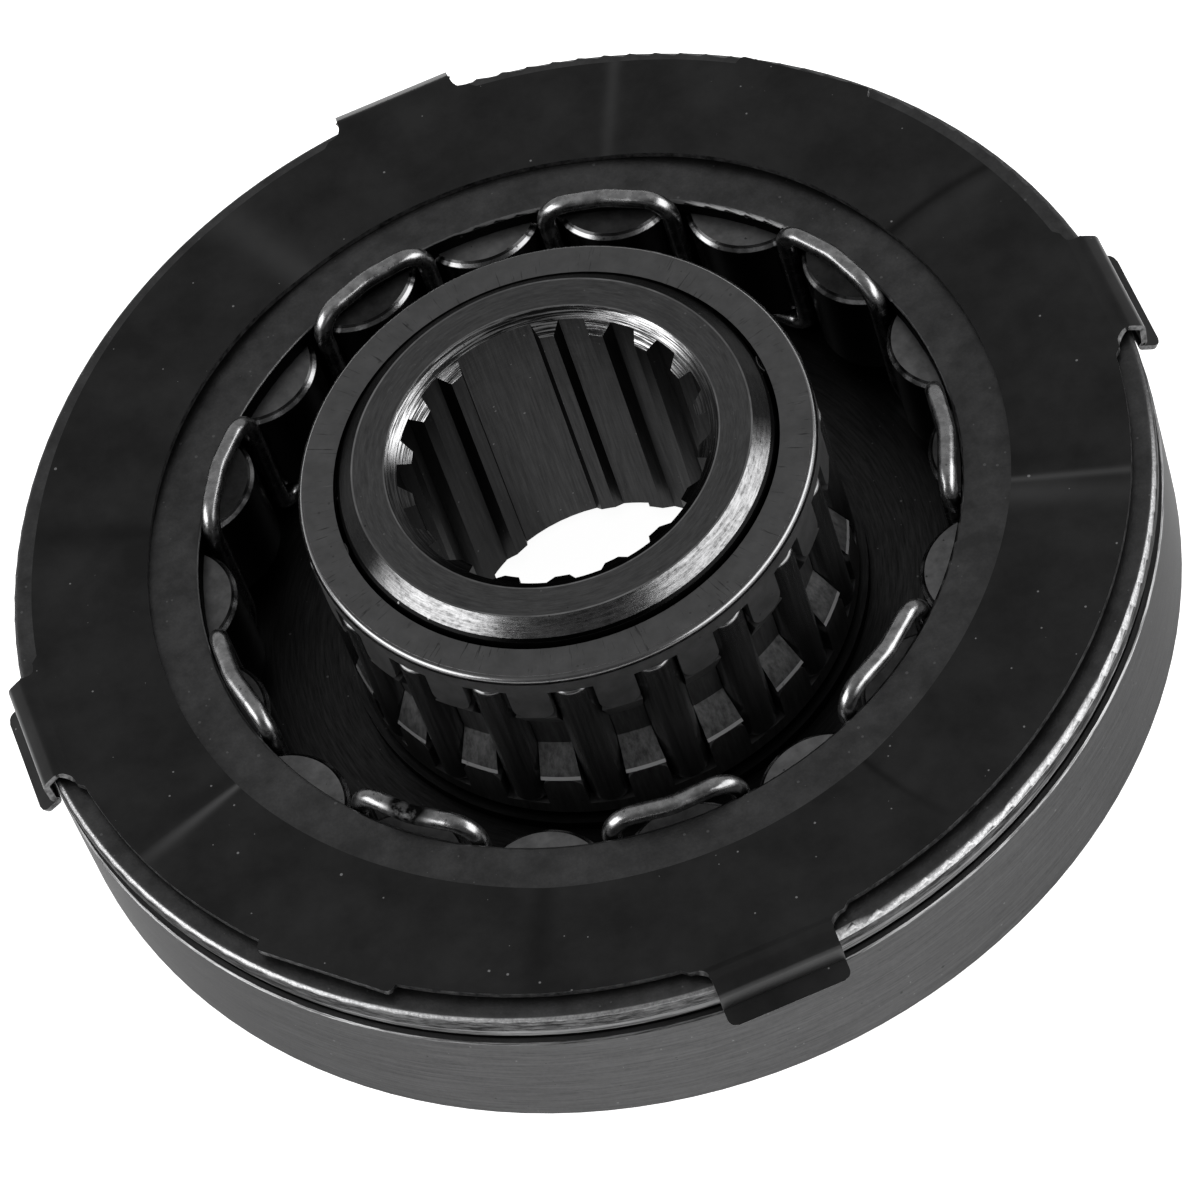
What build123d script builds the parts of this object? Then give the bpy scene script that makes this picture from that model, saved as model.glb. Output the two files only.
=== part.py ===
from build123d import *
import math
import os

# Roller type one-way clutch with a splined hub and a needle bearing for the driven gear.
# Millimetres. +Z is the clutch axis, pointing out of the open side; z = 0 is the hub's rear face.
# The driven gear's boss, which isn't part of this unit, runs on the needles inside the rollers.

# --- needle bearing, a 35 x 42 x 20 needle roller and cage ---
track_diameter = 35.0
needle_diameter = 3.5
needle_length = 16.0
needle_count = 19
needle_end_radius = 0.35
needle_stand_out = 0.15
cage_end_wall = 1.75
cage_wall = 1.0
cage_flange = 1.1
cage_edge_radius = 0.5
cage_skirt = 5.25
cage_slope_height = 3.15
cage_waist_depth = 1.6
lobe_corner_radius = 1.1

# --- hub and its internal spline ---
spline_positions = 18
spline_major_diameter = 25.1
tooth_height = 1.0
tooth_tip_width = 1.15
tooth_root_width = 2.35
bore_mouth_margin = 0.825
bore_mouth_depth = 1.4
hub_nose_stand_out = 1.7
hub_lead_chamfer = 1.4
rear_boss_wall = 6.45
rear_chamfer = 0.8

# --- housing web and ground rim ---
rim_wall = 3.5
rim_bottom = 3.6
rim_top_chamfer = 0.15
rim_bottom_chamfer = 0.35
web_bottom = 1.7
web_thickness = 3.3
thrust_land_margin = 0.64
thrust_land_height = 1.0

# --- rollers and the cam ring that they wedge against ---
roller_count = 18
roller_diameter = 11.0
roller_length = 9.6
roller_chamfer = 0.45
boss_diameter = 56.4
wedge_angle = 7.0
cam_nose_reach = 3.3
cam_wall = 3.78
cam_neck_step = 0.65
cam_neck_height = 1.8
cam_neck_gap = 0.25
pocket_corner_radius = 2.0
pocket_wedge_room = 0.45
pocket_release_room = 0.75

# --- retaining washer and the clip-on cover ---
washer_inset = 0.15
washer_thickness = 1.45
washer_edge_radius = 0.6
washer_bore_radius = 0.3
cover_bore_inset = 4.1
cover_edge_inset = 1.85
cover_thickness = 0.5
clip_count = 4
clip_width = 9.8
clip_root_radius = 1.2
clip_root_flat = 0.2
clip_root_overlap = 2.5
clip_crest = 0.8
clip_crest_inset = 0.65
clip_hook_depth = 0.1
clip_reach = 1.65
lip_drop = 1.1
clip_root_bend = 0.7
clip_crest_bend = 0.6
clip_shoulder_bend = 0.6
clip_hook_bend = 0.5
lip_bend = 0.25
tab_width = 12.0
tab_reach = 0.45

# --- zigzag roller spring ---
wire_diameter = 1.5
spring_boss_room = 1.1
spring_bar_lean = 0.15
spring_bend_radius = 2.2
spring_foot_radius = 1.6
spring_bar_radius = 6.0
spring_stand_out = 1.25

# --- clearances ---
needle_running_clearance = 0.01
window_clearance = 0.06
window_end_clearance = 0.15
cage_track_clearance = 0.42
cage_end_clearance = 0.1
ramp_clearance = 0.02
roller_end_clearance = 0.1
wire_clearance = 0.2
wire_washer_clearance = 0.1
cover_lift = 0.1
clip_side_clearance = 0.33
clip_hook_clearance = 0.2

# --- how far a cut or a joined piece runs past the surface that it meets ---
overrun = 1.0

# --- angles in degrees, seen from above, from +X ---
first_roller_angle = 8.3
first_needle_angle = 274.5
missing_tooth_angle = 96.5
first_clip_angle = 2.8
first_tab_angle = 47.5

# --- levels that follow from the sizes above ---
web_top = web_bottom + web_thickness
land_top = web_top + thrust_land_height
cage_bottom = land_top + cage_end_clearance
cage_length = needle_length + 2 * window_end_clearance + 2 * cage_end_wall
cage_top = cage_bottom + cage_length
needle_middle = cage_bottom + cage_length / 2
hub_height = cage_top + hub_nose_stand_out
spring_bottom = web_top + wire_clearance + wire_diameter / 2
roller_bottom = spring_bottom + wire_diameter / 2 + wire_clearance
roller_top = roller_bottom + roller_length
washer_bottom = roller_top + roller_end_clearance
washer_top = washer_bottom + washer_thickness
rim_top = washer_bottom - cam_neck_height
cover_bottom = washer_top + cover_lift
cover_top = cover_bottom + cover_thickness
spring_top = washer_top + spring_stand_out

# --- diameters and pitches that follow from the sizes above ---
needle_pitch_radius = track_diameter / 2 + needle_diameter / 2 + needle_running_clearance
needle_pitch_angle = 360 / needle_count
cage_outer_diameter = 2 * needle_pitch_radius + needle_diameter - 2 * needle_stand_out
cage_inner_diameter = track_diameter + 2 * cage_track_clearance
thrust_land_diameter = cage_outer_diameter + 2 * thrust_land_margin
spline_minor_diameter = spline_major_diameter - 2 * tooth_height
bore_mouth_diameter = spline_major_diameter + 2 * bore_mouth_margin
rear_boss_diameter = spline_major_diameter + 2 * rear_boss_wall
roller_pitch_radius = boss_diameter / 2 + roller_diameter / 2
roller_pitch_angle = 360 / roller_count
cam_bore = 2 * (roller_pitch_radius + cam_nose_reach)
rim_bore = 2 * (roller_pitch_radius + roller_diameter / 2 + ramp_clearance + cam_wall)
rim_diameter = rim_bore + 2 * rim_wall
cam_neck_diameter = rim_diameter - 2 * cam_neck_step
spring_leg_diameter = boss_diameter + wire_diameter + 2 * spring_boss_room
spring_bar_diameter = spring_leg_diameter + 2 * spring_bar_lean
washer_bore = spring_leg_diameter + wire_diameter + 2 * wire_washer_clearance
washer_diameter = rim_diameter - 2 * washer_inset
cover_bore = washer_bore + 2 * cover_bore_inset
cover_diameter = washer_diameter - 2 * cover_edge_inset


def ring(points):
    """Turned piece: a closed outline of (radius, height) points, revolved about the axis."""
    with BuildPart() as turned:
        with BuildSketch(Plane.XZ):
            Polygon(*points, align=None)
        revolve(axis=Axis.Z)
    return turned.part


def spline_bore_profile():
    """Bore outline at the groove floor, with one inward tooth at each position but one."""
    root_radius = spline_major_diameter / 2
    tip_radius = spline_minor_diameter / 2
    pitch = 360 / spline_positions
    slope = (tooth_root_width - tooth_tip_width) / (root_radius - tip_radius)
    buried_radius = root_radius + overrun
    buried_width = tooth_root_width + slope * overrun
    with BuildSketch() as profile:
        Circle(root_radius)
        for position in range(1, spline_positions):
            with BuildSketch(mode=Mode.PRIVATE) as tooth:
                with Locations(Rot(0, 0, missing_tooth_angle + position * pitch)):
                    Polygon(
                        (tip_radius, -tooth_tip_width / 2),
                        (tip_radius, tooth_tip_width / 2),
                        (buried_radius, buried_width / 2),
                        (buried_radius, -buried_width / 2),
                        align=None,
                    )
            add(tooth.sketch, mode=Mode.SUBTRACT)
    return profile.sketch


def make_housing():
    """Splined hub, web and ground rim, forged in one piece and turned all over."""
    track_radius = track_diameter / 2
    boss_radius = rear_boss_diameter / 2
    land_radius = thrust_land_diameter / 2
    rim_radius = rim_diameter / 2
    seat_radius = rim_bore / 2
    step = rim_bottom - web_bottom
    outline = [
        (0, 0),
        (boss_radius - rear_chamfer, 0),
        (boss_radius, rear_chamfer),
        (boss_radius, web_bottom),
        (seat_radius - step, web_bottom),
        (seat_radius, rim_bottom),
        (rim_radius - rim_bottom_chamfer, rim_bottom),
        (rim_radius, rim_bottom + rim_bottom_chamfer),
        (rim_radius, rim_top - rim_top_chamfer),
        (rim_radius - rim_top_chamfer, rim_top),
        (seat_radius, rim_top),
        (seat_radius, web_top),
        (land_radius, web_top),
        (land_radius, land_top),
        (track_radius, land_top),
        (track_radius, hub_height - hub_lead_chamfer),
        (track_radius - hub_lead_chamfer, hub_height),
        (0, hub_height),
    ]
    body = ring(outline)
    bore = extrude(spline_bore_profile(), hub_height)
    mouth_radius = bore_mouth_diameter / 2
    tip_radius = spline_minor_diameter / 2
    mouth = ring([
        (0, hub_height - bore_mouth_depth),
        (tip_radius, hub_height - bore_mouth_depth),
        (mouth_radius, hub_height),
        (0, hub_height),
    ])
    rear_mouth_radius = spline_major_diameter / 2 + rear_chamfer
    rear_depth = rear_mouth_radius - tip_radius
    rear_mouth = ring([
        (0, 0),
        (rear_mouth_radius, 0),
        (tip_radius, rear_depth),
        (0, rear_depth),
    ])
    return body - bore - mouth - rear_mouth


def pocket_profile():
    """One cam pocket at angle 0: a flat ramp beyond the roller, closing towards +Y."""
    tilt = math.radians(wedge_angle)
    normal = Vector(math.cos(tilt), math.sin(tilt))
    along = Vector(-math.sin(tilt), math.cos(tilt))
    centre = Vector(roller_pitch_radius, 0)
    ramp = centre + normal * (roller_diameter / 2 + ramp_clearance)
    deep_wall = -roller_diameter / 2 - pocket_release_room
    shallow_wall = roller_diameter / 2 + pocket_wedge_room
    deep_end = ramp + along * ((deep_wall - ramp.Y) / along.Y)
    shallow_end = ramp + along * ((shallow_wall - ramp.Y) / along.Y)
    inner_radius = cam_bore / 2 - overrun
    with BuildSketch() as pocket:
        with BuildLine():
            Polyline(
                (inner_radius, deep_wall),
                (deep_end.X, deep_wall),
                (shallow_end.X, shallow_wall),
                (inner_radius, shallow_wall),
                close=True,
            )
        make_face()
        outer_corners = pocket.vertices().group_by(Axis.X)[-2:]
        fillet([vertex for group in outer_corners for vertex in group], pocket_corner_radius)
    return pocket.sketch


def make_cam_ring():
    """Hardened ring pressed into the rim, with one wedge pocket behind each roller."""
    seat_radius = rim_bore / 2
    neck_radius = cam_neck_diameter / 2
    bore_radius = cam_bore / 2
    neck_bottom = rim_top + cam_neck_gap
    body = ring([
        (bore_radius, web_top),
        (seat_radius, web_top),
        (seat_radius, neck_bottom),
        (neck_radius, neck_bottom),
        (neck_radius, washer_bottom),
        (bore_radius, washer_bottom),
    ])
    pocket = extrude(pocket_profile(), washer_bottom - web_top)
    pockets = [
        Pos(0, 0, web_top) * Rot(0, 0, first_roller_angle + index * roller_pitch_angle) * pocket
        for index in range(roller_count)
    ]
    return body - pockets


def make_retaining_washer():
    """Flat washer over the roller ends, with its upper edges rounded for the spring and the clips."""
    body = ring([
        (washer_bore / 2, washer_bottom),
        (washer_diameter / 2, washer_bottom),
        (washer_diameter / 2, washer_top),
        (washer_bore / 2, washer_top),
    ])
    upper_edges = body.edges().filter_by(GeomType.CIRCLE).group_by(Axis.Z)[-1].sort_by(SortBy.RADIUS)
    body = fillet(upper_edges[-1], washer_edge_radius)
    upper_edges = body.edges().filter_by(GeomType.CIRCLE).group_by(Axis.Z)[-1].sort_by(SortBy.RADIUS)
    return fillet(upper_edges[0], washer_bore_radius)


def clip_path():
    """Centre line of one clip: flat root, hump over the washer's edge, hook under it, and lip."""
    middle = cover_bottom + cover_thickness / 2
    edge = washer_diameter / 2
    root = cover_diameter / 2 + clip_root_flat
    shoulder = edge + clip_side_clearance + cover_thickness / 2
    under = washer_bottom - clip_hook_clearance - cover_thickness / 2
    return FilletPolyline(
        (cover_diameter / 2 - clip_root_overlap, middle),
        (root, middle),
        (edge - clip_crest_inset, middle + clip_crest),
        (shoulder, middle),
        (shoulder - cover_thickness / 4, under + cover_thickness / 2),
        (edge - clip_hook_depth, under),
        (edge + clip_reach, under - lip_drop),
        radius=(clip_root_bend, clip_crest_bend, clip_shoulder_bend, clip_hook_bend, lip_bend),
    )


def plate_planform():
    """The plate from above: a ring with two short straight tabs on its outer edge."""
    with BuildSketch() as planform:
        Circle(cover_diameter / 2)
        with Locations(*[Rot(0, 0, first_tab_angle + turn) for turn in (0, 180)]):
            Rectangle(cover_diameter / 2 + tab_reach, tab_width, align=(Align.MIN, Align.CENTER))
        Circle(cover_bore / 2, mode=Mode.SUBTRACT)
    return planform.sketch


def strap_planform():
    """One strap from above, with its rounded roots on the plate's outer edge."""
    reach = washer_diameter / 2 + clip_reach + cover_thickness
    plate_radius = cover_diameter / 2
    root_x = math.sqrt(plate_radius**2 - (clip_width / 2) ** 2)
    with BuildSketch() as planform:
        Circle(plate_radius)
        Rectangle(reach, clip_width, align=(Align.MIN, Align.CENTER))
        corners = planform.vertices().sort_by_distance((root_x, clip_width / 2))[:1]
        corners += planform.vertices().sort_by_distance((root_x, -clip_width / 2))[:1]
        fillet(corners, clip_root_radius)
    return planform.sketch


def make_spring_cover():
    """Spring steel cover: one flat blank whose four straps are bent straight across into clips."""
    plate = Pos(0, 0, cover_bottom) * extrude(plate_planform(), cover_thickness)
    section = clip_path().offset_2d(cover_thickness / 2, kind=Kind.ARC, side=Side.BOTH)
    strap = extrude(Plane.XZ * make_face(section.edges()), clip_width / 2 + clip_root_radius, both=True)
    bottom = washer_bottom - lip_drop - 2 * cover_thickness - overrun
    blank = extrude(strap_planform(), cover_top + clip_crest + overrun - bottom)
    strap = strap & Pos(0, 0, bottom) * blank
    for index in range(clip_count):
        plate = plate + Rot(0, 0, first_clip_angle + index * 360 / clip_count) * strap
    return plate


def make_roller():
    """Cylindrical roller standing on its end at the origin."""
    body = Cylinder(roller_diameter / 2, roller_length, align=(Align.CENTER, Align.CENTER, Align.MIN))
    return chamfer(body.edges().filter_by(GeomType.CIRCLE), roller_chamfer)


def spring_point(diameter, angle, height):
    turn = math.radians(angle)
    return (diameter / 2 * math.cos(turn), diameter / 2 * math.sin(turn), height)


def make_roller_spring():
    """Zigzag spring: over one roller, down the gap, under the next, up the gap, and round."""
    half = roller_pitch_angle / 2
    start = first_roller_angle
    path = FilletPolyline(
        spring_point(spring_bar_diameter, start, spring_bottom),
        spring_point(spring_leg_diameter, start + half, spring_bottom),
        spring_point(spring_leg_diameter, start + half, spring_top),
        spring_point(spring_bar_diameter, start + 2 * half, spring_top),
        spring_point(spring_leg_diameter, start + 3 * half, spring_top),
        spring_point(spring_leg_diameter, start + 3 * half, spring_bottom),
        spring_point(spring_bar_diameter, start + 4 * half, spring_bottom),
        radius=(
            spring_foot_radius,
            spring_bend_radius,
            spring_bar_radius,
            spring_bend_radius,
            spring_foot_radius,
        ),
    )
    section = Plane(origin=path @ 0, z_dir=path % 0) * Circle(wire_diameter / 2)
    wave = sweep(section, path=path)
    waves = [Rot(0, 0, index * 2 * roller_pitch_angle) * wave for index in range(roller_count // 2)]
    spring = waves[0]
    for other in waves[1:]:
        spring = spring + other
    return spring


def make_lobe_corners():
    """Cuts beside the window at angle 0 that round the free corners of the skirt's lobes."""
    side = needle_diameter / 2 + window_clearance
    size = lobe_corner_radius
    upper = cage_top - cage_skirt
    lower = cage_bottom + cage_skirt
    with BuildSketch(Plane.YZ) as corners:
        for across in (-1, 1):
            for level, away in ((upper, 1), (lower, -1)):
                with Locations((across * (side + size / 2), level + away * size / 2)):
                    Rectangle(size, size)
                with Locations((across * (side + size), level + away * size)):
                    Circle(size, mode=Mode.SUBTRACT)
    inside = cage_outer_diameter / 2 - cage_wall - window_clearance
    return Pos(inside, 0, 0) * extrude(corners.sketch, cage_wall + 2 * window_clearance)


def make_needle_cage():
    """M-section cage: flat end rings, skirts at the full diameter and a waist between them."""
    outer = cage_outer_diameter / 2
    inner = cage_inner_diameter / 2
    waist = outer - cage_waist_depth
    skirt_inner = outer - cage_wall
    waist_inner = waist - cage_wall
    upper_skirt = cage_top - cage_skirt
    lower_skirt = cage_bottom + cage_skirt
    body = ring([
        (inner, cage_bottom),
        (outer - cage_edge_radius, cage_bottom),
        (outer, cage_bottom + cage_edge_radius),
        (outer, lower_skirt),
        (waist, lower_skirt + cage_slope_height),
        (waist, upper_skirt - cage_slope_height),
        (outer, upper_skirt),
        (outer, cage_top - cage_edge_radius),
        (outer - cage_edge_radius, cage_top),
        (inner, cage_top),
        (inner, cage_top - cage_flange),
        (skirt_inner, cage_top - cage_flange),
        (skirt_inner, upper_skirt),
        (waist_inner, upper_skirt - cage_slope_height),
        (waist_inner, lower_skirt + cage_slope_height),
        (skirt_inner, lower_skirt),
        (skirt_inner, cage_bottom + cage_flange),
        (inner, cage_bottom + cage_flange),
    ])
    window = Box(
        2 * cage_wall + 2 * cage_waist_depth,
        needle_diameter + 2 * window_clearance,
        needle_length + 2 * window_end_clearance,
    )
    lobe_corners = Pos(-needle_pitch_radius, 0, -needle_middle) * make_lobe_corners()
    windows = [
        Rot(0, 0, first_needle_angle + index * needle_pitch_angle)
        * Pos(needle_pitch_radius, 0, needle_middle)
        * (window + lobe_corners)
        for index in range(needle_count)
    ]
    return body - windows


def make_needle():
    """Needle roller, standing on the origin's level, with rounded ends."""
    body = Cylinder(needle_diameter / 2, needle_length)
    return fillet(body.edges().filter_by(GeomType.CIRCLE), needle_end_radius)


os.makedirs("parts", exist_ok=True)


def save(shape, node):
    export_step(shape, "parts/" + node + ".step")


save(make_housing(), "splined_hub_housing")
save(make_cam_ring(), "cam_ring")
save(make_retaining_washer(), "retaining_washer")
save(make_spring_cover(), "spring_cover")
save(make_roller_spring(), "roller_spring")
save(make_needle_cage(), "needle_cage")

roller = make_roller()
for index in range(roller_count):
    turn = Rot(0, 0, first_roller_angle + index * roller_pitch_angle)
    place = Pos(roller_pitch_radius, 0, roller_bottom)
    save(turn * place * roller, "roller_%02d" % (index + 1))

needle = make_needle()
for index in range(needle_count):
    turn = Rot(0, 0, first_needle_angle + index * needle_pitch_angle)
    place = Pos(needle_pitch_radius, 0, needle_middle)
    save(turn * place * needle, "needle_%02d" % (index + 1))
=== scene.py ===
import math
import bmesh
import bpy
import numpy as np
from mathutils import Matrix, Vector


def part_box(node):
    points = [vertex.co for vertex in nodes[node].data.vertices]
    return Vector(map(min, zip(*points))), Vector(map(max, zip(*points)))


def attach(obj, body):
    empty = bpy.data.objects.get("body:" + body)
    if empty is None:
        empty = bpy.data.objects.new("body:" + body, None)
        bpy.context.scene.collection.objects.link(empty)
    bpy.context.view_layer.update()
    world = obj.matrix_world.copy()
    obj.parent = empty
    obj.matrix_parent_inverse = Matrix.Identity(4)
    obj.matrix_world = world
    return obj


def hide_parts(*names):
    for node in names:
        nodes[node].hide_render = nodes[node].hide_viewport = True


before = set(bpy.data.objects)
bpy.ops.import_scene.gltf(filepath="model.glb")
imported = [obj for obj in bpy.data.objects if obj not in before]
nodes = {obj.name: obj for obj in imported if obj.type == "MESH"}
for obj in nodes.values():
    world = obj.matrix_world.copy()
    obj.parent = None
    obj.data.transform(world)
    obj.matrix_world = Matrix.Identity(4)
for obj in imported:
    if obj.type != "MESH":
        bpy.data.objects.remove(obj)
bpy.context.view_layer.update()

scene = bpy.context.scene

# Viewpoint. A long lens looks down into the open side of the clutch from the front,
# turned a little so that the clutch axis leans to the left in the frame.
lens = bpy.data.cameras.new("long_lens")
lens.sensor_width = 36.0
lens.lens = 194.046
lens.clip_start = 0.05
lens.clip_end = 40.0
viewpoint = bpy.data.objects.new("viewpoint", lens)
scene.collection.objects.link(viewpoint)
frame_right = Vector((0.93698, -0.28403, -0.20345))
frame_up = Vector((0.34938, 0.76173, 0.54562))
toward_viewer = frame_right.cross(frame_up).normalized()
turned = Matrix((frame_right, frame_up, toward_viewer)).transposed().to_4x4()
standing_place = Matrix.Translation((-0.00062297, -0.30485067, 0.43132663))
viewpoint.matrix_world = standing_place @ turned
scene.camera = viewpoint
scene.view_settings.view_transform = "Standard"


# Studio. A pale round floor, a dim room above it, and two soft boxes low at the left
# and the right, so that turned chamfers and wire bends catch the light from the sides.
floor_radius = 1.6
floor_sides = 96
floor_level = -0.0003
floor_tone = 0.82
floor_seen = 0.95
lit_centre = Vector((0.0, 0.0, 0.015))
soft_box_distance = 0.75
soft_box_height = 0.42


def add_node(tree, kind, feeds=None, **settings):
    made = tree.nodes.new(kind)
    for key, value in settings.items():
        setattr(made, key, value)
    for socket, value in (feeds or {}).items():
        if isinstance(value, bpy.types.NodeSocket):
            tree.links.new(value, made.inputs[socket])
        else:
            made.inputs[socket].default_value = value
    return made


def math_node(tree, operation, first, second=0.0):
    feeds = {0: first, 1: second}
    return add_node(tree, "ShaderNodeMath", feeds, operation=operation).outputs[0]


def ramp_value(tree, value, low, high, to_low=0.0, to_high=1.0):
    made = add_node(
        tree,
        "ShaderNodeMapRange",
        {"Value": value, "From Min": low, "From Max": high, "To Min": to_low, "To Max": to_high},
    )
    return made.outputs["Result"]


def direct_ray(tree):
    path = add_node(tree, "ShaderNodeLightPath")
    seen = math_node(tree, "MAXIMUM", path.outputs["Is Camera Ray"], path.outputs["Is Glossy Ray"])
    return math_node(tree, "MAXIMUM", seen, path.outputs["Is Transmission Ray"])


floor_mesh = bpy.data.meshes.new("floor")
floor_turns = np.linspace(0, 2 * math.pi, floor_sides + 1)[:-1]
floor_rim = [(floor_radius * math.cos(a), floor_radius * math.sin(a)) for a in floor_turns]
floor_rim = [(x, y, floor_level) for x, y in floor_rim]
floor_mesh.from_pydata(floor_rim, [], [tuple(range(floor_sides))])
floor = bpy.data.objects.new("floor", floor_mesh)
scene.collection.objects.link(floor)
pale_floor = bpy.data.materials.new("pale_floor")
pale_floor.use_nodes = True
tree = pale_floor.node_tree
tree.nodes.clear()
floor_colour = (floor_tone, floor_tone, floor_tone, 1.0)
diffuse = add_node(tree, "ShaderNodeBsdfDiffuse", {"Color": floor_colour})
glow = add_node(tree, "ShaderNodeEmission", {"Color": (1.0, 1.0, 1.0, 1.0)})
tree.links.new(math_node(tree, "MULTIPLY", direct_ray(tree), floor_seen), glow.inputs["Strength"])
both_shaders = add_node(tree, "ShaderNodeAddShader", {0: diffuse.outputs[0], 1: glow.outputs[0]})
add_node(tree, "ShaderNodeOutputMaterial", {"Surface": both_shaders.outputs[0]})
floor_mesh.materials.append(pale_floor)

room = bpy.data.worlds.new("room")
scene.world = room
room.use_nodes = True
tree = room.node_tree
tree.nodes.clear()
direction = add_node(tree, "ShaderNodeTexCoord").outputs["Generated"]
direction = add_node(tree, "ShaderNodeSeparateXYZ", {0: direction})
level = ramp_value(tree, direction.outputs["Z"], 0.0, 0.55, to_low=0.5, to_high=0.42)
dim_front = ramp_value(tree, direction.outputs["Y"], -0.75, -0.15, to_low=0.25)
level = math_node(tree, "MULTIPLY", level, dim_front)
room_light = {"Color": (1.0, 1.0, 1.0, 1.0), "Strength": level}
background = add_node(tree, "ShaderNodeBackground", room_light)
add_node(tree, "ShaderNodeOutputWorld", {"Surface": background.outputs[0]})


def soft_box(name, bearing, elevation, width, watts):
    lamp = bpy.data.lights.new(name, "AREA")
    lamp.shape = "RECTANGLE"
    lamp.size = width
    lamp.size_y = soft_box_height
    lamp.energy = watts
    holder = bpy.data.objects.new(name, lamp)
    scene.collection.objects.link(holder)
    a, e = math.radians(bearing), math.radians(elevation)
    away = Vector((math.cos(a) * math.cos(e), math.sin(a) * math.cos(e), math.sin(e)))
    holder.location = lit_centre + away * soft_box_distance
    holder.rotation_mode = "QUATERNION"
    holder.rotation_quaternion = away.to_track_quat("Z", "Y")


soft_box("soft_box_left", bearing=186.0, elevation=25.0, width=0.70, watts=4.2)
soft_box("soft_box_right", bearing=334.0, elevation=26.0, width=1.15, watts=5.6)


# Splined hub and rim. One forging in bearing steel, turned all over; the rim is ground,
# the web is left as turned and the spline is broached through the hub.
hub_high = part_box("splined_hub_housing")[1]
wall_radius = hub_high.x - 0.0006
nose_radius = 0.01765
nose_level = hub_high.z - 0.0015
gap_shade_radius = 0.01728
mouth_radius = 0.0150
bore_radius = 0.01265
outer_line_radii = (0.01594, 0.01608)
inner_line_radii = (0.01339, 0.01350)


def new_group(name, takes, gives):
    tree = bpy.data.node_groups.new(name, "ShaderNodeTree")
    for label, value in takes.items():
        socket = tree.interface.new_socket(label, in_out="INPUT", socket_type="NodeSocketFloat")
        socket.default_value = value
    for label in gives:
        tree.interface.new_socket(label, in_out="OUTPUT", socket_type="NodeSocketFloat")
    return tree, tree.nodes.new("NodeGroupInput"), tree.nodes.new("NodeGroupOutput")


def use_group(tree, group, **takes):
    made = tree.nodes.new("ShaderNodeGroup")
    made.node_tree = group
    for label, value in takes.items():
        made.inputs[label.replace("_", " ")].default_value = value
    return made


def place_of(tree):
    return add_node(tree, "ShaderNodeTexCoord").outputs["Object"]


def level_place_of(tree):
    """The point's place seen from above, and its height."""
    axes = add_node(tree, "ShaderNodeSeparateXYZ", {0: place_of(tree)})
    level = add_node(tree, "ShaderNodeCombineXYZ", {0: axes.outputs[0], 1: axes.outputs[1]})
    return level.outputs[0], axes.outputs[2]


def unit_vector(tree, vector):
    made = add_node(tree, "ShaderNodeVectorMath", {0: vector}, operation="NORMALIZE")
    return made.outputs["Vector"]


def radius_and_height(tree):
    level, height = level_place_of(tree)
    made = add_node(tree, "ShaderNodeVectorMath", {0: level}, operation="LENGTH")
    return made.outputs["Value"], height


def facing(tree):
    """How far the surface turns upwards, from -1 to 1."""
    normal = add_node(tree, "ShaderNodeTexCoord").outputs["Normal"]
    return add_node(tree, "ShaderNodeSeparateXYZ", {0: normal}).outputs[2]


def over(tree, value, limit):
    return math_node(tree, "GREATER_THAN", value, limit)


def under(tree, value, limit):
    return math_node(tree, "LESS_THAN", value, limit)


def both(tree, first, second):
    return math_node(tree, "MULTIPLY", first, second)


def between(tree, value, low, high):
    return both(tree, over(tree, value, low), under(tree, value, high))


def mix_colour(tree, factor, first, second):
    made = add_node(tree, "ShaderNodeMix", data_type="RGBA")
    for socket, value in ((0, factor), (6, first), (7, second)):
        if isinstance(value, bpy.types.NodeSocket):
            tree.links.new(value, made.inputs[socket])
        else:
            made.inputs[socket].default_value = value
    return made.outputs[2]


def mix_value(tree, factor, first, second):
    made = add_node(tree, "ShaderNodeMix", {0: factor, 2: first, 3: second}, data_type="FLOAT")
    return made.outputs[0]


def grey(tone):
    """Bare steel's grey, very slightly blue."""
    return (tone, tone, tone * 1.01, 1.0)


def two_tone(tree, factor, dark, light):
    return mix_colour(tree, factor, grey(dark), grey(light))


def tinge(tree, colour, tone, mask, share=None):
    """The colour, with a grey tone laid over it where the mask says, wholly or in part."""
    factor = mask if share is None else math_node(tree, "MULTIPLY", mask, share)
    return mix_colour(tree, factor, colour, grey(tone))


def add_relief(tree, shader, strength, depth, height):
    feeds = {"Strength": strength, "Distance": depth, "Height": height}
    bump = add_node(tree, "ShaderNodeBump", feeds)
    tree.links.new(bump.outputs[0], shader.inputs["Normal"])


def new_metal(name, metallic=1.0):
    material = bpy.data.materials.new(name)
    material.use_nodes = True
    shader = material.node_tree.nodes["Principled BSDF"]
    shader.inputs["Metallic"].default_value = metallic
    return material, material.node_tree, shader


# Tool marks follow the turning direction: long round the axis, fine across radius and height.
tool_marks, given, result = new_group(
    "tool_marks", {"Marks Per Metre": 4000.0, "Breaks Per Turn": 6.0, "Roughening": 0.6}, ["Streak"]
)
level_place, height = level_place_of(tool_marks)
radius = add_node(tool_marks, "ShaderNodeVectorMath", {0: level_place}, operation="LENGTH")
around = unit_vector(tool_marks, level_place)
spread = add_node(tool_marks, "ShaderNodeVectorMath", {0: around}, operation="SCALE")
tool_marks.links.new(given.outputs["Breaks Per Turn"], spread.inputs["Scale"])
turns = add_node(tool_marks, "ShaderNodeSeparateXYZ", {0: spread.outputs["Vector"]})
marks_per_metre = given.outputs["Marks Per Metre"]
across = math_node(tool_marks, "MULTIPLY", radius.outputs["Value"], marks_per_metre)
upward = math_node(tool_marks, "MULTIPLY", height, marks_per_metre)
where = {0: turns.outputs[0], 1: turns.outputs[1], 2: across}
where = add_node(tool_marks, "ShaderNodeCombineXYZ", where)
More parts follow.
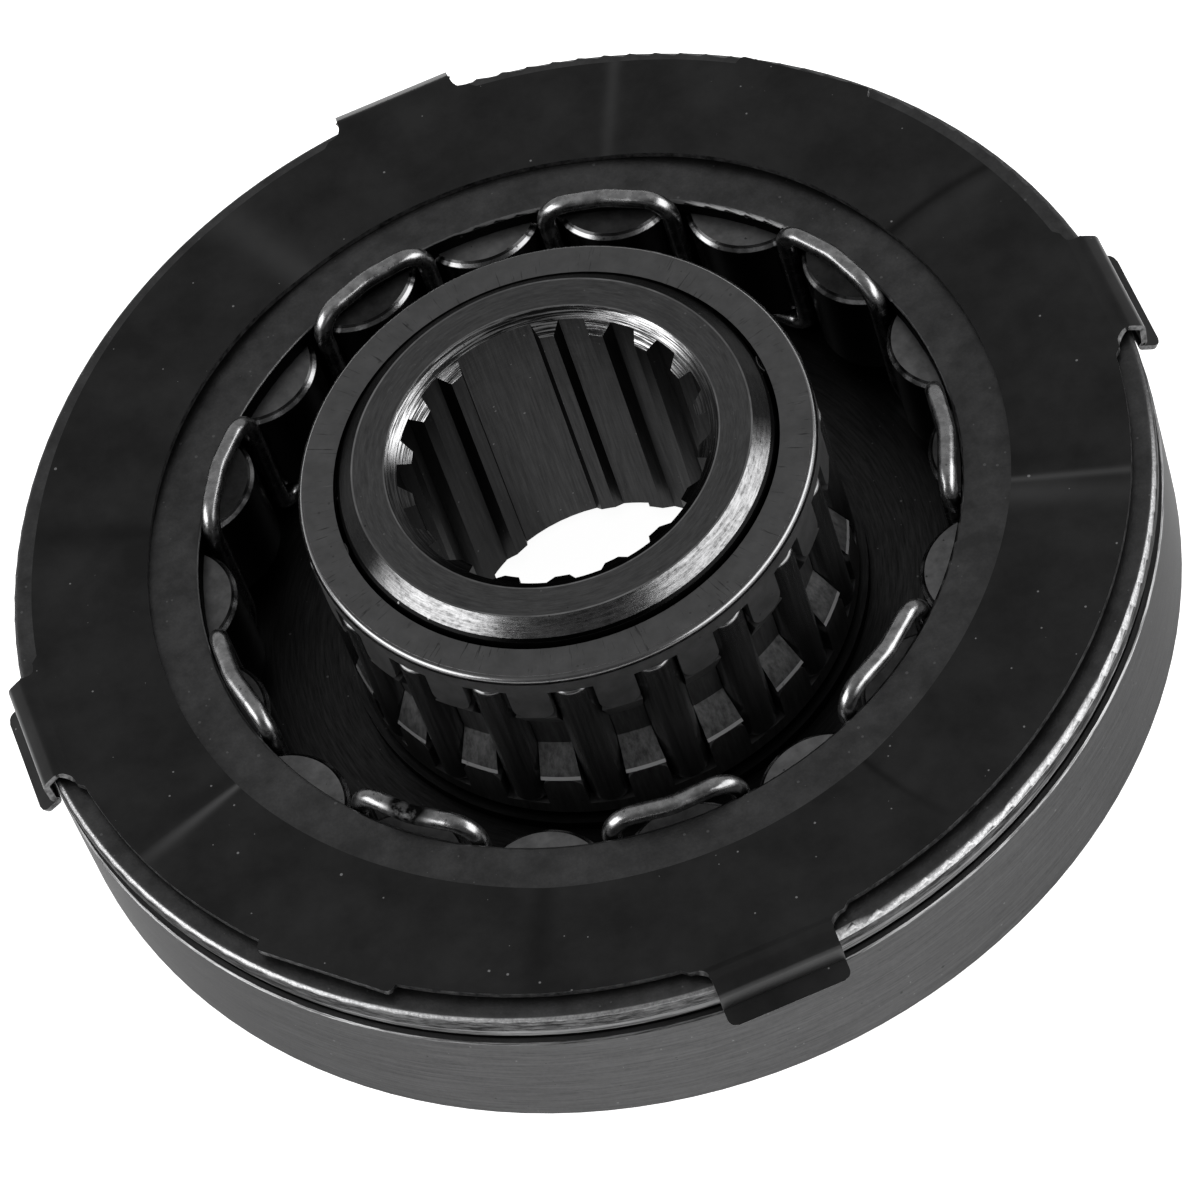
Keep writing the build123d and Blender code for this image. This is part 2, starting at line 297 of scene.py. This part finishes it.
streaks = add_node(
    tool_marks,
    "ShaderNodeTexNoise",
    {"Vector": where.outputs[0], "W": upward, "Scale": 1.0, "Detail": 4.0},
    noise_dimensions="4D",
)
tool_marks.links.new(given.outputs["Roughening"], streaks.inputs["Roughness"])
tool_marks.links.new(streaks.outputs["Fac"], result.inputs["Streak"])

# Drawn marks run along the axis, as a broach or a drawing die leaves them.
drawn_marks, given, result = new_group(
    "drawn_marks", {"Marks Per Metre": 2500.0, "Length Share": 0.04}, ["Streak"]
)
axes = add_node(drawn_marks, "ShaderNodeSeparateXYZ", {0: place_of(drawn_marks)})
squeezed = math_node(drawn_marks, "MULTIPLY", axes.outputs[2], given.outputs["Length Share"])
where = {0: axes.outputs[0], 1: axes.outputs[1], 2: squeezed}
where = add_node(drawn_marks, "ShaderNodeCombineXYZ", where)
lines = {"Vector": where.outputs[0], "Detail": 3.0, "Roughness": 0.7}
lines = add_node(drawn_marks, "ShaderNodeTexNoise", lines)
drawn_marks.links.new(given.outputs["Marks Per Metre"], lines.inputs["Scale"])
drawn_marks.links.new(lines.outputs["Fac"], result.inputs["Streak"])

# Handling wear: soft cloudy blotches, and small bright nicks and dust specks here and there.
handling, given, result = new_group(
    "handling_wear",
    {"Blotches Per Metre": 120.0, "Specks Per Metre": 900.0, "Speck Share": 0.04},
    ["Blotch", "Speck"],
)
place = place_of(handling)
cloud = {"Vector": place, "Detail": 6.0, "Roughness": 0.65}
cloud = add_node(handling, "ShaderNodeTexNoise", cloud)
handling.links.new(given.outputs["Blotches Per Metre"], cloud.inputs["Scale"])
handling.links.new(ramp_value(handling, cloud.outputs["Fac"], 0.35, 0.68), result.inputs["Blotch"])
cells = add_node(handling, "ShaderNodeTexVoronoi", {"Vector": place})
handling.links.new(given.outputs["Specks Per Metre"], cells.inputs["Scale"])
pick = add_node(handling, "ShaderNodeSeparateXYZ", {0: cells.outputs["Color"]})
most_small = math_node(handling, "POWER", pick.outputs[1], 3.0)
speck_reach = math_node(handling, "MULTIPLY", most_small, 0.3)
near = under(handling, cells.outputs["Distance"], speck_reach)
chosen = under(handling, pick.outputs[0], given.outputs["Speck Share"])
handling.links.new(both(handling, near, chosen), result.inputs["Speck"])


def turned_streaks(tree, per_metre, breaks, roughening):
    takes = {"Marks_Per_Metre": per_metre, "Breaks_Per_Turn": breaks, "Roughening": roughening}
    return use_group(tree, tool_marks, **takes).outputs["Streak"]


def drawn_streaks(tree, per_metre, length_share):
    takes = {"Marks_Per_Metre": per_metre, "Length_Share": length_share}
    return use_group(tree, drawn_marks, **takes).outputs["Streak"]


def handled(tree, blotches, specks, speck_share):
    takes = {"Blotches_Per_Metre": blotches, "Specks_Per_Metre": specks, "Speck_Share": speck_share}
    made = use_group(tree, handling, **takes)
    return made.outputs["Blotch"], made.outputs["Speck"]


ground_steel, tree, shader = new_metal("ground_steel")
radius, height = radius_and_height(tree)
upward = facing(tree)
sides = add_node(tree, "ShaderNodeSeparateXYZ", {0: unit_vector(tree, place_of(tree))})
rightward, backward = sides.outputs[0], sides.outputs[1]
marks = turned_streaks(tree, per_metre=5200.0, breaks=9.0, roughening=0.75)
marks_mask = ramp_value(tree, marks, 0.32, 0.68)
rings = turned_streaks(tree, per_metre=4800.0, breaks=9.0, roughening=0.85)
grooves = turned_streaks(tree, per_metre=8000.0, breaks=3.0, roughening=0.6)
broached = drawn_streaks(tree, per_metre=5200.0, length_share=0.04)
grain, nicks = handled(tree, blotches=2600.0, specks=2800.0, speck_share=0.08)
cloud, stains = handled(tree, blotches=160.0, specks=1900.0, speck_share=0.05)

web_colour = two_tone(tree, marks_mask, dark=0.016, light=0.042)

nose = both(tree, under(tree, radius, nose_radius), over(tree, height, nose_level))
nose_colour = two_tone(tree, marks_mask, dark=0.062, light=0.120)
outer_line = between(tree, radius, *outer_line_radii)
inner_line = between(tree, radius, *inner_line_radii)
turned_lines = math_node(tree, "ADD", outer_line, inner_line)
turned_lines = both(tree, turned_lines, ramp_value(tree, cloud, 0.2, 0.8, to_low=0.3))
nose_colour = tinge(tree, nose_colour, 0.28, turned_lines)
bright_rings = ramp_value(tree, rings, 0.62, 0.72, to_high=0.6)
nose_colour = tinge(tree, nose_colour, 0.22, bright_rings)

chamfered = both(tree, nose, between(tree, upward, 0.3, 0.97))
chamfer_colour = two_tone(tree, ramp_value(tree, rings, 0.38, 0.62), dark=0.030, light=0.22)
chamfer_colour = tinge(tree, chamfer_colour, 0.28, grain, share=0.5)
mouth = both(tree, chamfered, under(tree, radius, mouth_radius))
torn_colour = two_tone(tree, ramp_value(tree, grooves, 0.46, 0.58), dark=0.02, light=0.40)
# The torn mouth chamfer is made darker on its front half.
mouth_front_darkening = ramp_value(tree, backward, 0.20, 0.10, to_high=0.85)
torn_colour = tinge(tree, torn_colour, 0.03, mouth_front_darkening)
chamfer_colour = mix_colour(tree, mouth, chamfer_colour, torn_colour)
# Painted shade: the outer chamfers are made nearly black everywhere except on the front side.
painted_shade_far_side = ramp_value(tree, backward, -0.27, -0.13)
painted_shade_far_side = both(tree, painted_shade_far_side, over(tree, radius, mouth_radius))
chamfer_colour = tinge(tree, chamfer_colour, 0.014, painted_shade_far_side, share=0.95)
# Painted shade: the outermost rim of the chamfer is made almost black, as the shadowed gap next to
# the cage.
chamfer_colour = tinge(tree, chamfer_colour, 0.004, over(tree, radius, gap_shade_radius))

bore = both(tree, under(tree, radius, bore_radius), under(tree, upward, 0.3))
bore_colour = two_tone(tree, ramp_value(tree, broached, 0.25, 0.75), dark=0.026, light=0.056)
# Painted shade: the broached bore is darkened on its left side, which hides the highlights its
# flutes catch there.
painted_shade_bore_left = ramp_value(tree, rightward, -0.10, -0.35, to_high=0.6)
bore_colour = tinge(tree, bore_colour, 0.012, painted_shade_bore_left)

wall = over(tree, radius, wall_radius)
wall_colour = two_tone(tree, marks_mask, dark=0.052, light=0.104)
wall_colour = tinge(tree, wall_colour, 0.13, grain, share=0.25)
wall_colour = tinge(tree, wall_colour, 0.072, cloud, share=0.25)
burr = both(tree, between(tree, upward, 0.2, 0.98), ramp_value(tree, marks, 0.42, 0.6))
wall_colour = tinge(tree, wall_colour, 0.30, burr)

colour = mix_colour(tree, nose, web_colour, nose_colour)
colour = mix_colour(tree, chamfered, colour, chamfer_colour)
colour = mix_colour(tree, bore, colour, bore_colour)
colour = mix_colour(tree, wall, colour, wall_colour)
colour = tinge(tree, colour, 0.30, nicks, share=0.3)
colour = tinge(tree, colour, 0.03, stains, share=0.7)
tree.links.new(colour, shader.inputs["Base Color"])
polish = ramp_value(tree, marks, 0.3, 0.7, to_low=0.40, to_high=0.30)
polish = mix_value(tree, chamfered, polish, 0.23)
tree.links.new(mix_value(tree, wall, polish, 0.42), shader.inputs["Roughness"])
add_relief(tree, shader, strength=0.3, depth=0.00003, height=mix_value(tree, nose, marks, rings))
shader.inputs["Specular Tint"].default_value = (0.5, 0.5, 0.5, 1.0)
nodes["splined_hub_housing"].material_slots[0].material = ground_steel


# Cam ring. Hardened ring pressed into the rim, dark from heat treatment, with a wedge
# pocket behind each roller; only its pocket walls and outer neck show.
neck_radius = 0.0445
cam_steel, tree, shader = new_metal("cam_steel")
marks = turned_streaks(tree, per_metre=3000.0, breaks=4.0, roughening=0.7)
neck = over(tree, radius_and_height(tree)[0], neck_radius)
pocket_colour = two_tone(tree, ramp_value(tree, marks, 0.3, 0.7), dark=0.02, light=0.05)
neck_colour = two_tone(tree, ramp_value(tree, marks, 0.42, 0.60), dark=0.07, light=0.36)
tree.links.new(mix_colour(tree, neck, pocket_colour, neck_colour), shader.inputs["Base Color"])
tree.links.new(mix_value(tree, neck, 1.0, 0.35), shader.inputs["Metallic"])
shader.inputs["Roughness"].default_value = 0.42
nodes["cam_ring"].material_slots[0].material = cam_steel


# Rollers. Eighteen hardened cylinders, ground on the side and dull on the ends, with a
# small chamfer between the two that carries a painted highlight band; those under a bar of the
# spring get a darker copy of the material as painted shade.
roller_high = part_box("roller_01")[1]
roller_count = 18
painted_highlight_heights = (roller_high.z - 0.00042, roller_high.z - 0.00018)
# Painted shade: the rollers under a bar of the spring get a darker copy of the end material.
for finish, end_dark, end_light, first in (("shaded_under_bar", 0.045, 0.085, 2), ("uncovered", 0.12, 0.20, 1)):
    roller_steel, tree, shader = new_metal("roller_steel_" + finish)
    upward = facing(tree)
    wear, specks = handled(tree, blotches=700.0, specks=2600.0, speck_share=0.2)
    end_face = over(tree, upward, 0.93)
    chamfer = between(tree, upward, 0.3, 0.93)
    # Painted highlight: a thin bright band across the chamfer.
    painted_highlight_band = both(tree, chamfer, between(tree, radius_and_height(tree)[1], *painted_highlight_heights))
    end_colour = two_tone(tree, wear, dark=end_dark, light=end_light)
    colour = mix_colour(tree, end_face, grey(0.10), end_colour)
    colour = tinge(tree, colour, 0.05, chamfer)
    colour = tinge(tree, colour, 0.24, painted_highlight_band)
    colour = tinge(tree, colour, 0.03, specks, share=0.8)
    tree.links.new(colour, shader.inputs["Base Color"])
    tree.links.new(mix_value(tree, end_face, 0.22, 0.48), shader.inputs["Roughness"])
    add_relief(tree, shader, strength=0.25, depth=0.00004, height=wear)
    for index in range(first, roller_count + 1, 2):
        nodes["roller_%02d" % index].material_slots[0].material = roller_steel


# Roller spring. One length of bright drawn wire bent into a zigzag round the rollers and
# butt welded where its ends meet, which scorched it there.
weld_place = Vector((-0.0200, -0.0221, 0.0))
weld_radius = 0.0013
scorched_radius = 0.0026
spring_wire, tree, shader = new_metal("spring_wire")
wear, specks = handled(tree, blotches=900.0, specks=2600.0, speck_share=0.2)
places = {0: level_place_of(tree)[0], 1: weld_place}
apart = add_node(tree, "ShaderNodeVectorMath", places, operation="DISTANCE").outputs["Value"]
scale = ramp_value(tree, apart, weld_radius, scorched_radius, to_low=1.0, to_high=0.0)
scorched = two_tone(tree, ramp_value(tree, wear, 0.4, 0.9), dark=0.004, light=0.10)
colour = two_tone(tree, wear, dark=0.20, light=0.42)
colour = tinge(tree, colour, 0.04, specks, share=0.6)
tree.links.new(mix_colour(tree, scale, colour, scorched), shader.inputs["Base Color"])
polish = ramp_value(tree, wear, 0.0, 1.0, to_low=0.22, to_high=0.32)
tree.links.new(mix_value(tree, scale, polish, 0.55), shader.inputs["Roughness"])
nodes["roller_spring"].material_slots[0].material = spring_wire


# Retaining washer. Flat steel washer over the roller ends, tumbled so that its faces are
# dull and mottled, with its outer edge rounded for the clips; a painted highlight runs along
# that rounded edge, with painted shade over it everywhere but in front.
edge_radius = 0.0456
bore_side_radius = 0.0315
unshaded_bead_bearing = math.radians(264.0)
unshaded_bead_toward = (math.cos(unshaded_bead_bearing), math.sin(unshaded_bead_bearing), 0.0)
washer_steel, tree, shader = new_metal("washer_steel")
radius = radius_and_height(tree)[0]
upward = facing(tree)
wear, specks = handled(tree, blotches=420.0, specks=2200.0, speck_share=0.22)
grit = handled(tree, blotches=4200.0, specks=1600.0, speck_share=0.08)[0]
colour = two_tone(tree, wear, dark=0.062, light=0.105)
colour = tinge(tree, colour, 0.04, grit, share=0.3)

edge = over(tree, radius, edge_radius)
marks = turned_streaks(tree, per_metre=5000.0, breaks=30.0, roughening=0.8)
side_colour = two_tone(tree, ramp_value(tree, marks, 0.40, 0.66), dark=0.022, light=0.15)
colour = mix_colour(tree, both(tree, edge, under(tree, upward, 0.6)), colour, side_colour)
# Painted highlight along the middle of the rounded outer edge, and painted shade over that band
# everywhere except near the front.
places = {0: unit_vector(tree, place_of(tree)), 1: unshaded_bead_toward}
bead_painted_shade = add_node(tree, "ShaderNodeVectorMath", places, operation="DOT_PRODUCT").outputs["Value"]
bead_painted_shade = ramp_value(tree, bead_painted_shade, 0.26, 0.08)
bead_highlight_colour = two_tone(tree, grit, dark=0.24, light=0.48)
bead_highlight_colour = tinge(tree, bead_highlight_colour, 0.03, bead_painted_shade, share=0.8)
bead_highlight_band = both(tree, ramp_value(tree, upward, 0.40, 0.55), ramp_value(tree, upward, 0.94, 0.87))
colour = mix_colour(tree, both(tree, edge, bead_highlight_band), colour, bead_highlight_colour)

bore_side = under(tree, radius, bore_side_radius)
# Painted shade on the bore wall, and a painted highlight along the bore's rounded edge.
colour = tinge(tree, colour, 0.015, both(tree, bore_side, under(tree, upward, 0.55)))
colour = tinge(tree, colour, 0.15, both(tree, bore_side, between(tree, upward, 0.55, 0.9)))
colour = tinge(tree, colour, 0.25, specks, share=0.35)
tree.links.new(colour, shader.inputs["Base Color"])
shader.inputs["Roughness"].default_value = 0.40
shader.inputs["Specular Tint"].default_value = (0.4, 0.4, 0.4, 1.0)
add_relief(tree, shader, strength=0.3, depth=0.00003, height=grit)
nodes["retaining_washer"].material_slots[0].material = washer_steel


# Spring cover. Blackened spring steel sheet, pressed with eight radial creases into a
# shallow wave, so that it bears on the washer; four straps are bent straight across into
# clips that snap under the washer's edge, and the sheared edges are left bright.
washer_low, washer_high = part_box("retaining_washer")
washer_edge = washer_high.x
sheet_gauge = 0.0005
plate_inner = 0.0350
plate_outer = 0.0445
gate_radius = 0.0430
rest_gap = 0.00007
dish_rise = 0.00038
wave_rise = 0.00055
wave_fall = 0.00030
first_crease = 24.5
crease_pitch = 45.0
first_clip = 2.8
clip_count = 4
clip_pitch = 90.0
clip_half = 0.0050
clip_root_round = 0.0013
clip_top_gap = 0.0001
clip_side_gap = 0.00033
clip_hook_gap = 0.0002
clip_crest = 0.0008
clip_crest_inset = 0.00065
clip_hook_depth = 0.00025
clip_root_flat = 0.0002
lip_reach = 0.00165
lip_drop = 0.0011
lip_corner = 0.0007
clip_bends = (0.0007, 0.0006, 0.0006, 0.0003, 0.0003)
tab_centre = 47.5
tab_pitch = 180.0
tab_half = 0.0060
tab_stand_out = 0.00045
tab_corner = 0.0005
bend_steps = 7
plate_steps = 8
strap_steps = 8
lip_steps = 10
root_steps = 8
clip_columns = 25
plate_columns = 261
seam_width = 0.000004


def round_corners(points, bends):
    """The bent line with an arc in the place of each inner corner."""
    line = [Vector(points[0])]
    for before, corner, after, bend in zip(points, points[1:], points[2:], bends):
        before, corner, after = Vector(before), Vector(corner), Vector(after)
        back, ahead = (before - corner).normalized(), (after - corner).normalized()
        half = back.angle(ahead) / 2
        reach = bend / math.tan(half)
        centre = corner + (back + ahead).normalized() * (bend / math.sin(half))
        first = (corner + back * reach - centre).normalized()
        last = (corner + ahead * reach - centre).normalized()
        for step in range(bend_steps + 1):
            line.append(centre + first.slerp(last, step / bend_steps) * bend)
    line.append(Vector(points[-1]))
    return line


def sheet_lift(radius, angle):
    """Height of the sheet's middle over the washer: dished outward, and raised between clips."""
    share = min(max((radius - plate_inner) / (plate_outer - plate_inner), 0.0), 1.0)
    lift = sheet_gauge / 2 + rest_gap + dish_rise * share
    turn = (angle - first_crease) % (2 * crease_pitch)
    across = (turn - crease_pitch / 2) / (crease_pitch / 2)
    if abs(across) < 1.0:
        lift += (wave_rise - wave_fall * share) * (1.0 - across * across)
    return lift


clip_top = washer_high.z + sheet_gauge / 2 + clip_top_gap
clip_under = washer_low.z - clip_hook_gap - sheet_gauge / 2
root_height = washer_high.z + sheet_lift(plate_outer, first_clip)
shoulder = washer_edge + clip_side_gap + sheet_gauge / 2
bent_line = round_corners(
    [
        (gate_radius, root_height),
        (plate_outer + clip_root_flat, root_height),
        (washer_edge - clip_crest_inset, clip_top + clip_crest),
        (shoulder, clip_top),
        (shoulder - sheet_gauge / 4, clip_under + sheet_gauge / 2),
        (washer_edge - clip_hook_depth, clip_under),
        (washer_edge + lip_reach, clip_under - lip_drop),
    ],
    clip_bends,
)
strap_reaches = np.linspace(gate_radius, plate_outer, strap_steps + 1)
lip_shares = np.linspace(0.0, 1.0, lip_steps + 1)[1:]
strap_line = [Vector((reach, root_height)) for reach in strap_reaches]
strap_line += bent_line[1:-1]
strap_line += [bent_line[-2].lerp(bent_line[-1], share) for share in lip_shares]
run = [0.0]
for before, after in zip(strap_line, strap_line[1:]):
    run.append(run[-1] + (after - before).length)


def arc_dip(radius, beside):
    """How far a rounded corner falls back from its straight edge, this far from its end."""
    return radius - math.sqrt(radius**2 - (radius - beside) ** 2)


def sheet_column(lateral, limit, turn, bent):
    """One line of the sheet from its bore outwards, at a distance beside a clip's middle."""
    c, s = math.cos(turn), math.sin(turn)
    start_angle = math.atan2(lateral, gate_radius)
    start = Vector((plate_inner * math.cos(start_angle), plate_inner * math.sin(start_angle)))
    gate = Vector((gate_radius, lateral))
    shares = np.linspace(0.0, 1.0, plate_steps + 1)[:-1]
    spots = [(*start.lerp(gate, share), None) for share in shares]
    before = strap_line[0]
    for point, along in zip(strap_line, run):
        width = lateral
        if limit is not None and point.x > limit:
            share = (limit - before.x) / max(point.x - before.x, 1e-9)
            point = before.lerp(point, min(max(share, 0.0), 1.0))
        elif limit is None and run[-1] - along < lip_corner:
            width *= 1 - arc_dip(lip_corner, run[-1] - along) / clip_half
        spots.append((point.x, width, point.y if bent and point.x > plate_outer else None))
        before = point
    column = []
    for x, y, z in spots:
        if z is None:
            angle = math.degrees(turn + math.atan2(y, x))
            z = washer_high.z + sheet_lift(math.hypot(x, y), angle)
        column.append((x * c - y * s, x * s + y * c, z))
    return column


root_line = []
for step in range(root_steps + 1):
    beside = clip_root_round * (1 - step / root_steps) ** 2
    root_line.append((clip_half + beside, plate_outer + arc_dip(clip_root_round, beside)))
beside_clip = math.degrees(math.atan((clip_half + clip_root_round) / gate_radius)) + 0.5
plate_turns = np.linspace(beside_clip, clip_pitch - beside_clip, plate_columns)
columns = []
breaks = set()
for index in range(clip_count):
    clip_angle = first_clip + clip_pitch * index
    turn = math.radians(clip_angle)
    for lateral, reach in root_line:
        columns.append(sheet_column(-lateral, reach, turn, True))
    breaks.add(len(columns))
    for lateral in np.linspace(-clip_half, clip_half, clip_columns):
        columns.append(sheet_column(lateral, None, turn, True))
    breaks.add(len(columns))
    for lateral, reach in reversed(root_line):
        columns.append(sheet_column(lateral, reach, turn, True))
    for step in plate_turns:
        from_tab = (clip_angle + step - tab_centre + tab_pitch / 2) % tab_pitch - tab_pitch / 2
        off = math.radians(from_tab)
        reach = plate_outer
        beside = tab_half - abs((plate_outer + tab_stand_out) * math.tan(off))
        if beside > 0.0:
            sunk = max(tab_corner - beside, 0.0)
            tab_edge = plate_outer + tab_stand_out - tab_corner + math.sqrt(tab_corner**2 - sunk**2)
            reach = max(plate_outer, tab_edge / math.cos(off))
        columns.append(sheet_column(0.0, reach, math.radians(clip_angle + step), False))
rows = len(columns[0])
faces = []
for index in range(len(columns)):
    after = (index + 1) % len(columns)
    if after in breaks:
        continue
    here, there = index * rows, after * rows
    for row in range(rows - 1):
        faces.append((here + row, here + row + 1, there + row + 1, there + row))
sheet = bpy.data.meshes.new("sheet_middle")
sheet.from_pydata([point for column in columns for point in column], [], faces)
shape = bmesh.new()
shape.from_mesh(sheet)
bmesh.ops.remove_doubles(shape, verts=shape.verts, dist=seam_width)
bmesh.ops.dissolve_degenerate(shape, edges=shape.edges, dist=seam_width)
bmesh.ops.recalc_face_normals(shape, faces=shape.faces)
shape.to_mesh(sheet)
shape.free()
blank = bpy.data.objects.new("sheet_middle", sheet)
scene.collection.objects.link(blank)
gauge = blank.modifiers.new("gauge", "SOLIDIFY")
gauge.thickness = sheet_gauge
gauge.offset = 0.0
gauge.use_rim = True
gauge.material_offset_rim = 1
sheet.materials.append(None)
sheet.materials.append(None)
thick_blank = blank.evaluated_get(bpy.context.evaluated_depsgraph_get())
pressed = bpy.data.meshes.new_from_object(thick_blank)
bpy.data.objects.remove(blank)
pressed.shade_smooth()
pressed.set_sharp_from_angle(angle=math.radians(40.0))
wave_cover = bpy.data.objects.new("wave_cover", pressed)
scene.collection.objects.link(wave_cover)

# Along its creases light and shade are painted into the blacking, lighter in some places
# and darker in others: bearing, curve, half width at the bore and at the edge, and tone at
# the bore and at the edge, with the curve and the widths in millimetres.
crease_light_and_shade = (
    (203.2, 0.0, 0.25, 0.75, 1.0, 0.30),
    (201.4, 0.0, 0.7, 1.0, -0.4, -0.2),
    (159.0, 0.0, 0.9, 1.3, -0.6, -0.45),
    (114.0, 0.6, 1.5, 1.8, 0.35, 0.2),
    (68.8, 0.0, 0.55, 0.6, 0.2, 0.30),
    (25.2, -1.6, 0.40, 0.45, -1.0, -0.8),
    (22.4, -1.0, 1.1, 0.9, 0.12, 0.06),
    (339.6, 0.0, 0.25, 0.35, 0.6, 0.5),
    (337.4, -0.4, 1.1, 1.3, 0.35, 0.2),
    (342.2, 0.6, 0.9, 0.6, -0.5, 0.0),
    (293.6, 1.4, 0.30, 0.35, -0.9, 0.0),
    (249.5, 0.0, 0.9, 1.0, -0.55, -0.3),
)
millimetres = 1000.0
points = np.empty(len(pressed.vertices) * 3)
pressed.vertices.foreach_get("co", points)
points = points.reshape(-1, 3)
reach = np.hypot(points[:, 0], points[:, 1])
bearing = np.degrees(np.arctan2(points[:, 1], points[:, 0]))
share = np.clip((reach - plate_inner) / (plate_outer - plate_inner), 0.0, 1.0)
tone = np.zeros(len(points))
for centre, curve, inner_width, outer_width, inner_tone, outer_tone in crease_light_and_shade:
    turned_by = np.radians((bearing - centre + 180.0) % 360.0 - 180.0)
    beside = turned_by * reach * millimetres - curve * share**2
    width = inner_width + (outer_width - inner_width) * share
    tone += np.exp(-((beside / width) ** 2)) * (inner_tone + (outer_tone - inner_tone) * share)
crease_shading = pressed.attributes.new("crease_shading", "FLOAT", "POINT")
crease_shading.data.foreach_set("value", tone.astype(np.float32))

black_steel, tree, shader = new_metal("black_spring_steel", metallic=0.7)
wear, specks = handled(tree, blotches=150.0, specks=2400.0, speck_share=0.05)
crease_shading_value = add_node(tree, "ShaderNodeAttribute", attribute_name="crease_shading").outputs["Fac"]
colour = two_tone(tree, wear, dark=0.0125, light=0.0265)
# Painted light and shade along the creases, from the crease shading attribute.
colour = tinge(tree, colour, 0.10, ramp_value(tree, crease_shading_value, 0.0, 1.0))
colour = tinge(tree, colour, 0.004, ramp_value(tree, crease_shading_value, 0.0, -1.0))
colour = tinge(tree, colour, 0.3, specks, share=0.7)
tree.links.new(colour, shader.inputs["Base Color"])
shader.inputs["Roughness"].default_value = 0.34
pressed.materials[0] = black_steel

sheared_edge, tree, shader = new_metal("sheared_edge")
wear = handled(tree, blotches=1500.0, specks=3000.0, speck_share=0.1)[0]
tree.links.new(two_tone(tree, wear, dark=0.03, light=0.20), shader.inputs["Base Color"])
shader.inputs["Roughness"].default_value = 0.4
pressed.materials[1] = sheared_edge
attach(wave_cover, "housing")
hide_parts("spring_cover")


# Needle cage. Sheet steel pressed to an M section with nineteen windows; the end rings are
# turned and brushed, the skirts hang over the needles' ends, and the upper ring's outer
# edge, a narrow cone, is bumped to look round, with a painted highlight along its middle.
cage_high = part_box("needle_cage")[1]
ring_level = cage_high.z - 0.0006
edge_round = 0.0005
edge_middle = cage_high.x - edge_round / 2
bar_top = 0.0204
slope_top = 0.0150
slope_highlight_heights = (0.0113, 0.01165)
cage_steel, tree, shader = new_metal("cage_steel")
radius, height = radius_and_height(tree)
upward = facing(tree)
scratches = turned_streaks(tree, per_metre=420.0, breaks=95.0, roughening=0.6)
brushed = drawn_streaks(tree, per_metre=2200.0, length_share=0.12)
wear, specks = handled(tree, blotches=500.0, specks=2000.0, speck_share=0.2)

colour = two_tone(tree, wear, dark=0.16, light=0.24)
bars = both(tree, under(tree, height, bar_top), under(tree, upward, 0.12))
bar_colour = two_tone(tree, ramp_value(tree, brushed, 0.25, 0.80), dark=0.07, light=0.19)
colour = mix_colour(tree, bars, colour, bar_colour)
ring = over(tree, height, ring_level)
ring_colour = two_tone(tree, wear, dark=0.112, light=0.145)
dark_scratches = ramp_value(tree, scratches, 0.60, 0.70, to_high=0.8)
ring_colour = tinge(tree, ring_colour, 0.02, dark_scratches)
bright_scratches = ramp_value(tree, scratches, 0.34, 0.26, to_high=0.5)
ring_colour = tinge(tree, ring_colour, 0.22, bright_scratches)
colour = mix_colour(tree, ring, colour, ring_colour)

edge_cone = both(tree, ring, between(tree, upward, 0.3, 0.95))
across_cone = math_node(tree, "SUBTRACT", radius, edge_middle)
across_cone = math_node(tree, "MULTIPLY", across_cone, math.sqrt(2.0))
squared = math_node(tree, "POWER", across_cone, 2.0)
squared = math_node(tree, "SUBTRACT", edge_round**2, squared)
arch = math_node(tree, "SQRT", math_node(tree, "MAXIMUM", squared, edge_round**2 / 2))
arch = mix_value(tree, edge_cone, edge_round / math.sqrt(2.0), arch)
add_relief(tree, shader, strength=1.0, depth=1.0, height=arch)
# Painted highlight along the middle of the edge cone.
cone_painted_highlight = ramp_value(tree, math_node(tree, "ABSOLUTE", across_cone), 0.00020, 0.00008)
colour = tinge(tree, colour, 0.24, both(tree, edge_cone, cone_painted_highlight))

slope = both(tree, under(tree, height, slope_top), between(tree, upward, 0.12, 0.97))
slope_colour = two_tone(tree, ramp_value(tree, brushed, 0.30, 0.75), dark=0.05, light=0.20)
# Painted highlight: a thin bright line across the lower part of each slope.
slope_colour = tinge(tree, slope_colour, 0.50, between(tree, height, *slope_highlight_heights))
colour = mix_colour(tree, slope, colour, slope_colour)
colour = tinge(tree, colour, 0.03, specks, share=0.4)
tree.links.new(colour, shader.inputs["Base Color"])
film = mix_value(tree, ring, 0.84, 1.0)
tree.links.new(mix_value(tree, slope, film, 0.35), shader.inputs["Metallic"])
tree.links.new(mix_value(tree, edge_cone, 0.34, 0.22), shader.inputs["Roughness"])
nodes["needle_cage"].material_slots[0].material = cage_steel


# Needles. Nineteen bearing steel needles, oiled and almost black except along the
# highlights.
needle_count = 19
needle_steel, tree, shader = new_metal("needle_steel", metallic=0.93)
drawn = drawn_streaks(tree, per_metre=3500.0, length_share=0.03)
colour = two_tone(tree, ramp_value(tree, drawn, 0.25, 0.80), dark=0.06, light=0.26)
colour = tinge(tree, colour, 0.16, over(tree, facing(tree), 0.3))
tree.links.new(colour, shader.inputs["Base Color"])
shader.inputs["Roughness"].default_value = 0.26
for index in range(needle_count):
    nodes["needle_%02d" % (index + 1)].material_slots[0].material = needle_steel
